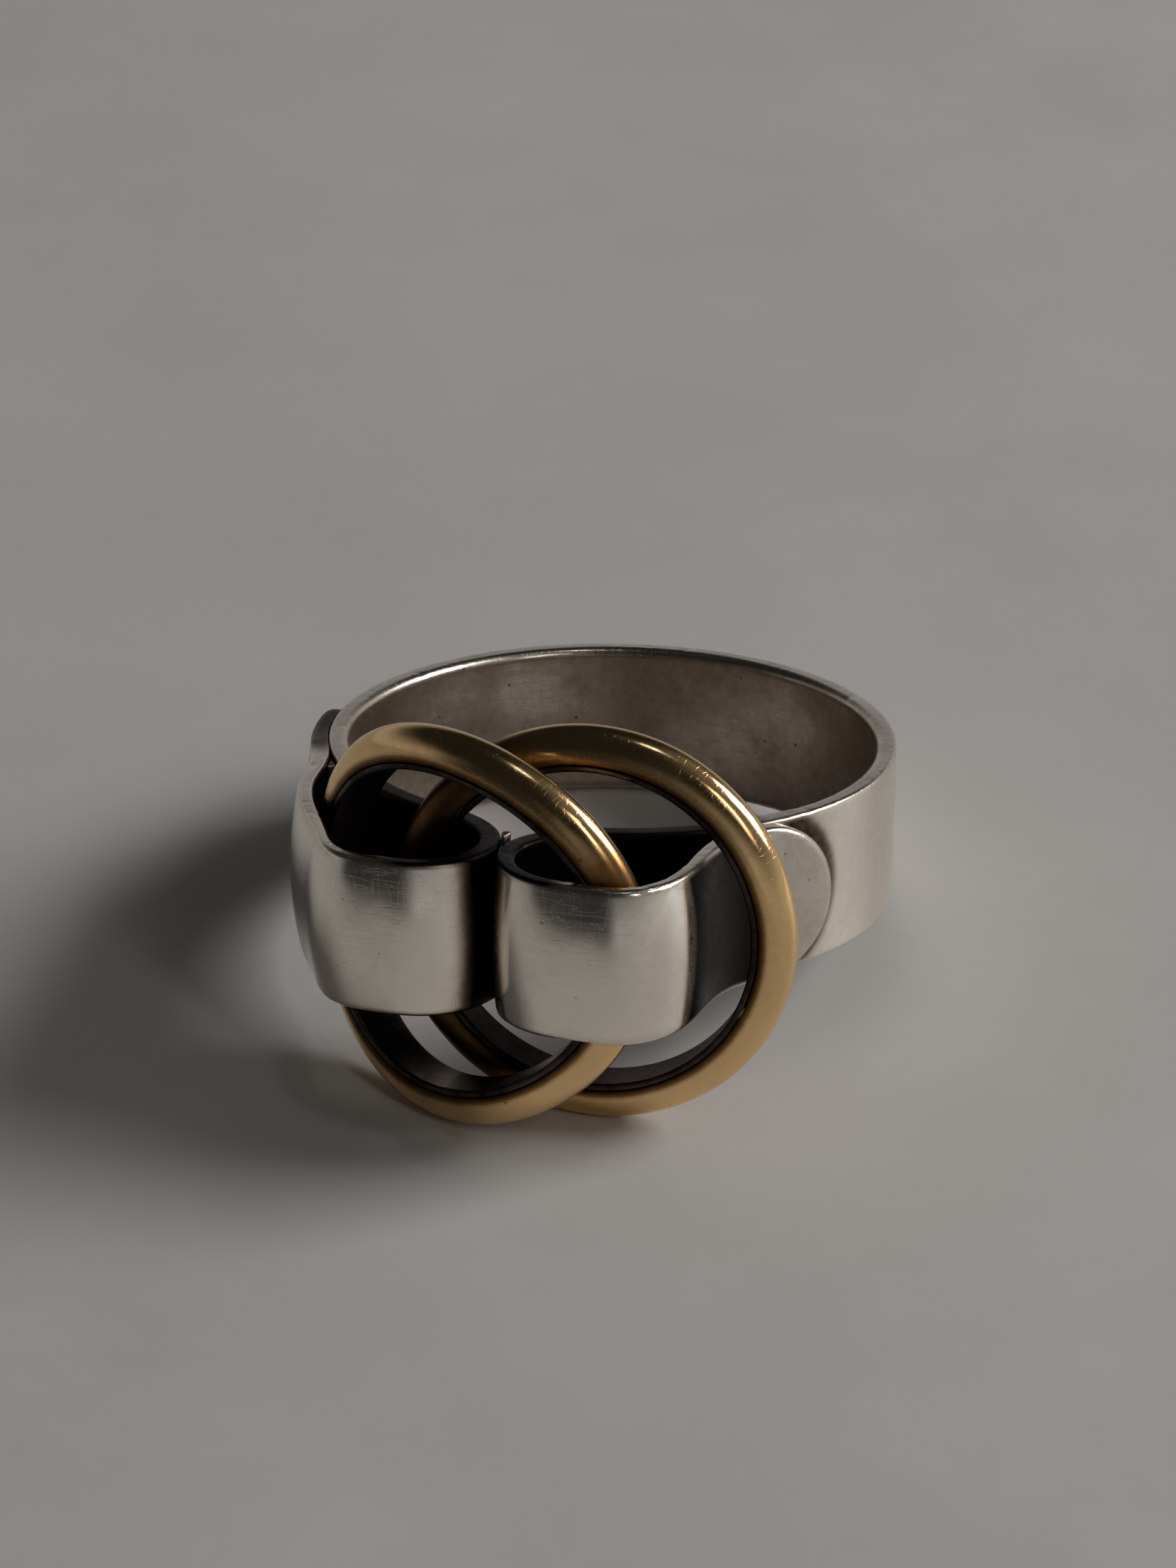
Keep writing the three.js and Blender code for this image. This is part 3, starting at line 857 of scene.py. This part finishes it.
def metal_finish(
    name, stops, spread, rough, line_depth, scratch_depth, pit_depth, grain=STRIP_GRAIN
):
    """A worn metal. stops are its colours from clean to black, rough its gloss clean and black.

    spread is how patchy its tarnish is, the depths are in millimetres, and grain is how fine the
    lines of its polish are along, across and through it.
    """
    made = Finish(name)
    place = made.scaled(made.add("ShaderNodeTexCoord").outputs["Object"], (1 / MM,) * 3)
    draw = made.add("ShaderNodeAttribute", attribute_name="draw").outputs["Vector"]
    # The attribute read here is 0 for clean and 1 for black: tarnished metal and painted shade.
    grime_and_shade = made.add("ShaderNodeAttribute", attribute_name="tarnish_and_shade").outputs["Fac"]

    patches = made.cloud(place, 0.4, 3.0, 0.5)
    specks = made.cloud(place, 3.2, 3.0, 0.6)
    wide = made.mapped(patches, NOISE_LOW, NOISE_HIGH, -spread, spread)
    fine = made.mapped(specks, NOISE_LOW, NOISE_HIGH, -spread * 0.5, spread * 0.5)
    uneven = made.calc("ADD", wide, fine)
    grime_and_shade = made.calc("ADD", grime_and_shade, uneven, clamp=True)

    pit = made.add("ShaderNodeTexVoronoi")
    made.join(place, pit.inputs["Vector"])
    pit.inputs["Scale"].default_value = 1.7
    chosen = made.mapped(pit.outputs["Color"], 0.62, 0.7, 0.0, 1.0)
    pits = made.calc("MULTIPLY", made.mapped(pit.outputs["Distance"], 0.02, 0.13, 1.0, 0.0), chosen)
    grime_and_shade = made.calc("ADD", grime_and_shade, made.calc("MULTIPLY", pits, 0.35), clamp=True)
    colour = made.shades(grime_and_shade, stops)
    made.join(colour, made.metal.inputs["Base Color"])
    made.metal.inputs["Metallic"].default_value = 1.0

    lines = made.cloud(made.scaled(draw, grain), 1.0, 4.0)
    first = made.hairlines(made.scaled(draw, (0.5, 3.4, 1.0), (0, 0, 0.5)), 1.0, 0.006)
    second = made.hairlines(made.scaled(draw, (2.6, 0.45, 1.0), (0, 0, -0.35)), 1.0, 0.006)
    scratches = made.calc("MAXIMUM", first, second)

    gloss = made.mapped(grime_and_shade, 0.0, 1.0, rough[0], rough[1])
    gloss = made.calc("ADD", gloss, made.mapped(patches, NOISE_LOW, NOISE_HIGH, -0.03, 0.05))
    gloss = made.calc("ADD", gloss, made.calc("MULTIPLY", scratches, 0.08))
    streaks = made.mapped(lines, NOISE_LOW, NOISE_HIGH, -0.02, 0.04)
    gloss = made.calc("ADD", gloss, streaks, clamp=True)
    made.join(gloss, made.metal.inputs["Roughness"])

    normal = made.bump(lines, line_depth * MM, 1.0)
    normal = made.bump(made.calc("SUBTRACT", 1.0, scratches), scratch_depth * MM, 1.0, normal)
    normal = made.bump(made.calc("SUBTRACT", 1.0, pits), pit_depth * MM, 1.0, normal)
    made.join(normal, made.metal.inputs["Normal"])
    return made.material


def silver_finish():
    """Polished silver, browner and then black as it gets more tarnished and as more shade is painted on
    it.
    """
    strip = bpy.context.scene.strip_settings
    clean, brown, black = (tuple(c) for c in (strip.silver, strip.tarnish_and_shade, strip.black))
    dull = tuple(0.62 * a + 0.38 * b for a, b in zip(clean, brown))
    stops = [(0.0, clean), (0.3, dull), (0.62, brown), (0.9, black)]
    return metal_finish(
        "polished_silver", stops, spread=0.07, rough=(0.14, 0.42),
        line_depth=0.0005, scratch_depth=0.001, pit_depth=0.004,
    )


def gold_finish():
    """Polished gold, dull and dark in its corners, with painted shade where it runs through the folds.
    """
    hoop = bpy.context.scene.hoop_settings
    clean, film_and_shade = tuple(hoop.gold), tuple(hoop.gold_tarnish_and_shade)
    stops = [(0.0, clean), (0.5, film_and_shade), (1.0, tuple(0.12 * c for c in film_and_shade))]
    return metal_finish(
        "yellow_gold", stops, spread=0.06, rough=(0.14, 0.4),
        line_depth=0.0014, scratch_depth=0.0008, pit_depth=0.002, grain=HOOP_GRAIN,
    )


def lining_finish():
    """Blackened silver with a satin gloss."""
    dark = tuple(bpy.context.scene.hoop_settings.lining_dark)
    stops = [(0.0, tuple(2.2 * c for c in dark)), (0.5, dark), (1.0, tuple(0.15 * c for c in dark))]
    return metal_finish(
        "oxidised_silver", stops, spread=0.2, rough=(0.2, 0.36),
        line_depth=0.0014, scratch_depth=0.001, pit_depth=0.003,
    )


def solder_finish():
    """Rough solder, partly blackened."""
    strip = bpy.context.scene.strip_settings
    clean, brown, black = (tuple(c) for c in (strip.silver, strip.tarnish_and_shade, strip.black))
    stops = [(0.0, tuple(0.7 * c for c in clean)), (0.4, brown), (1.0, black)]
    return metal_finish(
        "silver_solder", stops, spread=0.2, rough=(0.25, 0.5),
        line_depth=0.003, scratch_depth=0.001, pit_depth=0.006,
    )


def floor_finish():
    """Smooth pale paint with faint cloudy marks."""
    made = Finish("pale_floor")
    place = made.scaled(made.add("ShaderNodeTexCoord").outputs["Object"], (1 / MM,) * 3)
    clouds = made.cloud(place, 0.06, 5.0, 0.6)
    base = tuple(bpy.context.scene.stage_settings.floor)
    dim, light = (tuple(share * c for c in base) for share in (0.95, 1.04))
    tone = made.shades(clouds, [(NOISE_LOW, dim), (NOISE_HIGH, light)])
    made.join(tone, made.metal.inputs["Base Color"])
    made.join(made.mapped(clouds, NOISE_LOW, NOISE_HIGH, 0.5, 0.65), made.metal.inputs["Roughness"])
    made.join(made.bump(made.cloud(place, 1.2, 4.0), 0.01 * MM, 0.4), made.metal.inputs["Normal"])
    made.metal.inputs["Specular IOR Level"].default_value = 0.25
    return made.material


# ---------------------------------------------------------------- stage


def soft_light(name, direction, size, power, colour):
    """A flat soft light that looks at the ring from a direction in the frame."""
    light = bpy.data.lights.new(name, "AREA")
    light.shape, light.size, light.size_y = "RECTANGLE", *size
    light.energy, light.color = power, colour
    made = bpy.data.objects.new(name, light)
    towards = Vector(direction).normalized()
    made.location = towards * LIGHT_DISTANCE
    made.rotation_mode = "QUATERNION"
    made.rotation_quaternion = towards.to_track_quat("Z", "Y")
    bpy.context.scene.collection.objects.link(made)


def make_room():
    """A dim room: a light wall low at the front left, dark overhead, and a glow round the window."""
    world = bpy.data.worlds.new("room")
    bpy.context.scene.world = world
    world.use_nodes = True
    tree = world.node_tree
    tree.nodes.clear()

    def add(kind, **settings):
        node = tree.nodes.new(kind)
        for key, value in settings.items():
            setattr(node, key, value)
        return node

    def facing(direction, low, high, dim, bright):
        """Brightness that goes from dim to bright as the view turns towards a direction."""
        dot = add("ShaderNodeVectorMath", operation="DOT_PRODUCT")
        dot.inputs[1].default_value = Vector(direction).normalized()
        tree.links.new(place.outputs["Generated"], dot.inputs[0])
        spread = add("ShaderNodeMapRange", interpolation_type="SMOOTHSTEP")
        for key, number in zip(RANGE_SOCKETS, (low, high, dim, bright)):
            spread.inputs[key].default_value = number
        tree.links.new(dot.outputs["Value"], spread.inputs["Value"])
        return spread.outputs["Result"]

    def both(operation, first, second):
        node = add("ShaderNodeMath", operation=operation)
        tree.links.new(first, node.inputs[0])
        tree.links.new(second, node.inputs[1])
        return node.outputs[0]

    place = add("ShaderNodeTexCoord")
    low = facing((0, 0, 1), 0.02, 0.5, WALL_LIGHT, 0.0)
    walls = both("MULTIPLY", low, facing((-0.36, -0.93, 0), 0.72, 0.96, 1.0, 0.03))
    glow = both("ADD", walls, facing((0.8, 0.3, 0.5), 0.55, 1.0, ROOM_LIGHT, WINDOW_GLOW))
    light = add("ShaderNodeBackground")
    light.inputs["Color"].default_value = ROOM_COLOUR
    tree.links.new(glow, light.inputs["Strength"])
    tree.links.new(light.outputs["Background"], add("ShaderNodeOutputWorld").inputs["Surface"])


def make_camera():
    """The camera in front of the ring, a little to its right and above it."""
    rotation, centre = ring_frame()
    side, height, roll = (
        math.radians(angle) for angle in (CAMERA_SIDE, CAMERA_HEIGHT, CAMERA_ROLL)
    )
    back = np.array([
        math.sin(side) * math.cos(height), -math.cos(side) * math.cos(height), math.sin(height),
    ])
    level = np.array([math.cos(side), math.sin(side), 0.0])
    upright = np.cross(back, level)
    target = level * CAMERA_AIM[0] + upright * CAMERA_AIM[1]
    place = target + back * CAMERA_DISTANCE
    axis_x = level * math.cos(roll) + upright * math.sin(roll)
    axis_y = -level * math.sin(roll) + upright * math.cos(roll)
    camera = bpy.data.cameras.new("camera")
    camera.lens = bpy.context.scene.stage_settings.lens
    camera.sensor_width = SENSOR_WIDTH
    camera.clip_start, camera.clip_end = 0.01, 20.0
    made = bpy.data.objects.new("camera", camera)
    turned = rotation @ np.stack([axis_x, axis_y, back], -1)
    matrix = Matrix(turned.tolist()).to_4x4()
    matrix.translation = Vector(rotation @ place * MM + centre)
    made.matrix_world = matrix
    bpy.context.scene.collection.objects.link(made)
    bpy.context.scene.camera = made


def make_floor():
    """A wide flat floor that turns down a little at its far edge."""
    count, rings = FLOOR_AROUND, FLOOR_RINGS
    radius = FLOOR_REACH * (np.arange(1, rings + 1) / rings) ** FLOOR_CROWDING
    into_edge = np.clip((radius - FLOOR_REACH + FLOOR_EDGE) / FLOOR_EDGE, 0, 1)
    rise = -FLOOR_DROP * into_edge**2
    turn = np.linspace(0, 2 * np.pi, count, endpoint=False)
    points = [(0.0, 0.0, 0.0)]
    for r, z in zip(radius, rise):
        points += [(r * math.cos(a), r * math.sin(a), z) for a in turn]
    faces = [(0, 1 + i, 1 + (i + 1) % count) for i in range(count)]
    for k in range(rings - 1):
        here, after = 1 + k * count, 1 + (k + 1) * count
        faces += [
            (here + i, after + i, after + (i + 1) % count, here + (i + 1) % count) for i in range(count)
        ]
    mesh = bpy.data.meshes.new("floor")
    mesh.from_pydata(points, [], faces)
    mesh.shade_smooth()
    mesh.materials.append(floor_finish())
    made = bpy.data.objects.new("floor", mesh)
    bpy.context.scene.collection.objects.link(made)


def make_lights():
    """A soft window at the back right, a weak skylight and a tall weak doorway at the front right."""
    stage = bpy.context.scene.stage_settings
    soft_light("window", size=(stage.window_size,) * 2, power=stage.window_power, **WINDOW)
    soft_light("skylight", **SKYLIGHT)
    soft_light("doorway", **DOORWAY)


# ---------------------------------------------------------------- operators and panel


class RING_OT_silver_strip(bpy.types.Operator):
    """Make the silver strip with its pillows and tongues"""

    bl_idname = "silver_ring.strip"
    bl_label = "Silver strip"

    def execute(self, context):
        make_strip()
        return {"FINISHED"}


class RING_OT_solder(bpy.types.Operator):
    """Make the solder in the notch and under the landings"""

    bl_idname = "silver_ring.solder"
    bl_label = "Solder"

    def execute(self, context):
        make_solder()
        return {"FINISHED"}


class RING_OT_gold_hoops(bpy.types.Operator):
    """Make the two half-round gold hoops"""

    bl_idname = "silver_ring.gold_hoops"
    bl_label = "Gold hoops"

    def execute(self, context):
        make_gold()
        return {"FINISHED"}


class RING_OT_hoop_linings(bpy.types.Operator):
    """Make the dark linings of the two hoops"""

    bl_idname = "silver_ring.hoop_linings"
    bl_label = "Hoop linings"

    def execute(self, context):
        make_linings()
        return {"FINISHED"}


class RING_OT_stage(bpy.types.Operator):
    """Make the floor, the lights, the room and the camera"""

    bl_idname = "silver_ring.stage"
    bl_label = "Stage"

    def execute(self, context):
        make_floor()
        make_lights()
        make_room()
        make_camera()
        return {"FINISHED"}


class RING_PT_panel(bpy.types.Panel):
    """Sizes, colours and makers for the ring"""

    bl_idname = "RING_PT_panel"
    bl_label = "Silver Ring"
    bl_space_type = "VIEW_3D"
    bl_region_type = "UI"
    bl_category = "Silver Ring"

    def draw(self, context):
        for settings, operators in (
            (context.scene.strip_settings, ("silver_ring.strip", "silver_ring.solder")),
            (context.scene.hoop_settings, ("silver_ring.gold_hoops", "silver_ring.hoop_linings")),
            (context.scene.stage_settings, ("silver_ring.stage",)),
        ):
            box = self.layout.box()
            for name in settings.__annotations__:
                box.prop(settings, name)
            for operator in operators:
                box.operator(operator)


CLASSES = (
    StripSettings,
    HoopSettings,
    StageSettings,
    RING_OT_silver_strip,
    RING_OT_solder,
    RING_OT_gold_hoops,
    RING_OT_hoop_linings,
    RING_OT_stage,
    RING_PT_panel,
)


def register():
    for cls in CLASSES:
        bpy.utils.register_class(cls)
    bpy.types.Scene.strip_settings = PointerProperty(type=StripSettings)
    bpy.types.Scene.hoop_settings = PointerProperty(type=HoopSettings)
    bpy.types.Scene.stage_settings = PointerProperty(type=StageSettings)


def unregister():
    del bpy.types.Scene.stage_settings
    del bpy.types.Scene.hoop_settings
    del bpy.types.Scene.strip_settings
    for cls in reversed(CLASSES):
        bpy.utils.unregister_class(cls)


def main():
    """Makes the whole scene."""
    register()
    bpy.context.scene.view_settings.view_transform = "Standard"
    bpy.ops.silver_ring.strip()
    bpy.ops.silver_ring.solder()
    bpy.ops.silver_ring.gold_hoops()
    bpy.ops.silver_ring.hoop_linings()
    bpy.ops.silver_ring.stage()


if __name__ == "__main__":
    main()
